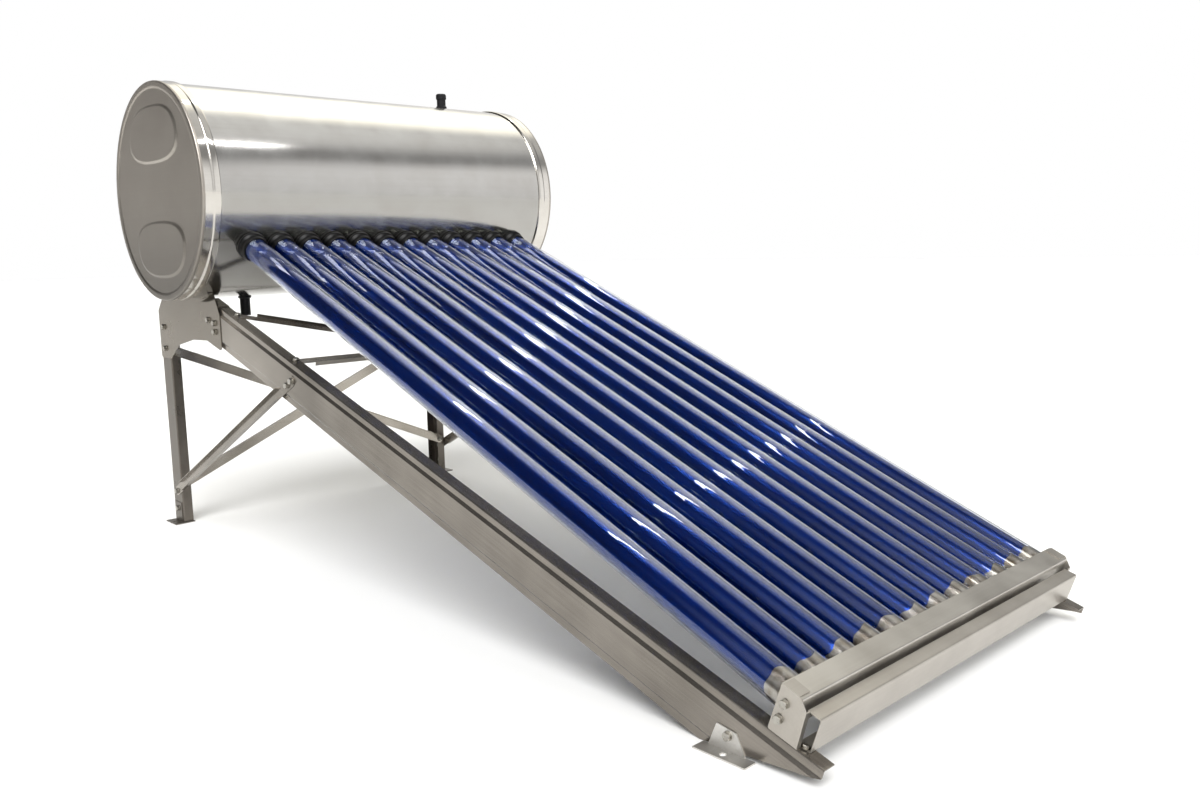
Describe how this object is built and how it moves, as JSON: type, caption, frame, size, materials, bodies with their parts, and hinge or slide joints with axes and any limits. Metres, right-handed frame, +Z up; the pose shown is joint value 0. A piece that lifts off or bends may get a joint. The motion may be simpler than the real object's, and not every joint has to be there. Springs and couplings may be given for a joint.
{
  "type": "solar water heater",
  "caption": "Thermosiphon solar water heater: a lying insulated steel tank fed by a slope of glass vacuum tubes, on a bolted stand of folded steel channel.",
  "frame": {"origin": "on the ground, in the middle of the footprint", "axes": "+X along the tank to its vent end, +Y from the low front to the tank, +Z up"},
  "size_m": [1.09, 2.2144, 1.2295],
  "materials": {
    "polished_steel": "polished stainless sheet",
    "cap_steel": "matte stamped sheet",
    "tank_steel": "plain stainless sheet",
    "frame_steel": "bright folded sheet",
    "bolt_steel": "plain",
    "foam": "cast foam",
    "silicone": "matte",
    "black_rubber": "matte",
    "black_plastic": "moulded",
    "cup_plastic": "moulded",
    "coated_glass": "dark blue coating under clear glass"
  },
  "bodies": {
    "stand": {"outer_shell": "polished_steel", "insulation": "foam", "inner_tank": "tank_steel", "end_cap_left": "cap_steel", "end_cap_right": "cap_steel", "tube_seals": "silicone", "dust_rings": "black_rubber", "vent_pipe": "tank_steel", "port_left": "black_plastic", "port_right": "black_plastic", "port_grommets": "black_rubber", "cradle_left": "frame_steel", "cradle_right": "frame_steel", "front_rail_left": "frame_steel", "front_rail_right": "frame_steel", "rear_leg_left": "frame_steel", "rear_leg_right": "frame_steel", "side_brace_left": "frame_steel", "side_brace_right": "frame_steel", "rear_cross_brace_a": "frame_steel", "rear_cross_brace_b": "frame_steel", "front_tie": "frame_steel", "front_brace_left": "frame_steel", "front_brace_right": "frame_steel", "tail_rail": "frame_steel", "tail_cups": "cup_plastic", "tail_bracket_left": "frame_steel", "tail_bracket_right": "frame_steel", "cross_bar": "frame_steel", "rear_foot_left": "frame_steel", "rear_foot_right": "frame_steel", "front_foot_left": "frame_steel", "front_foot_right": "frame_steel", "side_bolts_left": "bolt_steel", "side_bolts_right": "bolt_steel", "brace_bolts": "bolt_steel", "tail_bolts_set": "bolt_steel"},
    "vent_cap": {"vent_cap": "black_plastic"},
    "tube_01": {"vacuum_tube_01": "coated_glass"},
    "tube_02": {"vacuum_tube_02": "coated_glass"},
    "tube_03": {"vacuum_tube_03": "coated_glass"},
    "tube_04": {"vacuum_tube_04": "coated_glass"},
    "tube_05": {"vacuum_tube_05": "coated_glass"},
    "tube_06": {"vacuum_tube_06": "coated_glass"},
    "tube_07": {"vacuum_tube_07": "coated_glass"},
    "tube_08": {"vacuum_tube_08": "coated_glass"},
    "tube_09": {"vacuum_tube_09": "coated_glass"},
    "tube_10": {"vacuum_tube_10": "coated_glass"},
    "tube_11": {"vacuum_tube_11": "coated_glass"},
    "tube_12": {"vacuum_tube_12": "coated_glass"}
  },
  "joints": [
    {"name": "vent_cap_lift", "type": "slide", "parent": "stand", "child": "vent_cap", "axis": [0, 0, 1], "range_m": [0, 0.03]},
    {"name": "tube_01_slide", "type": "slide", "parent": "stand", "child": "tube_01", "axis": [0, 0.9239, 0.3827], "range_m": [0, 0.035]},
    {"name": "tube_02_slide", "type": "slide", "parent": "stand", "child": "tube_02", "axis": [0, 0.9239, 0.3827], "range_m": [0, 0.035]},
    {"name": "tube_03_slide", "type": "slide", "parent": "stand", "child": "tube_03", "axis": [0, 0.9239, 0.3827], "range_m": [0, 0.035]},
    {"name": "tube_04_slide", "type": "slide", "parent": "stand", "child": "tube_04", "axis": [0, 0.9239, 0.3827], "range_m": [0, 0.035]},
    {"name": "tube_05_slide", "type": "slide", "parent": "stand", "child": "tube_05", "axis": [0, 0.9239, 0.3827], "range_m": [0, 0.035]},
    {"name": "tube_06_slide", "type": "slide", "parent": "stand", "child": "tube_06", "axis": [0, 0.9239, 0.3827], "range_m": [0, 0.035]},
    {"name": "tube_07_slide", "type": "slide", "parent": "stand", "child": "tube_07", "axis": [0, 0.9239, 0.3827], "range_m": [0, 0.035]},
    {"name": "tube_08_slide", "type": "slide", "parent": "stand", "child": "tube_08", "axis": [0, 0.9239, 0.3827], "range_m": [0, 0.035]},
    {"name": "tube_09_slide", "type": "slide", "parent": "stand", "child": "tube_09", "axis": [0, 0.9239, 0.3827], "range_m": [0, 0.035]},
    {"name": "tube_10_slide", "type": "slide", "parent": "stand", "child": "tube_10", "axis": [0, 0.9239, 0.3827], "range_m": [0, 0.035]},
    {"name": "tube_11_slide", "type": "slide", "parent": "stand", "child": "tube_11", "axis": [0, 0.9239, 0.3827], "range_m": [0, 0.035]},
    {"name": "tube_12_slide", "type": "slide", "parent": "stand", "child": "tube_12", "axis": [0, 0.9239, 0.3827], "range_m": [0, 0.035]}
  ]
}
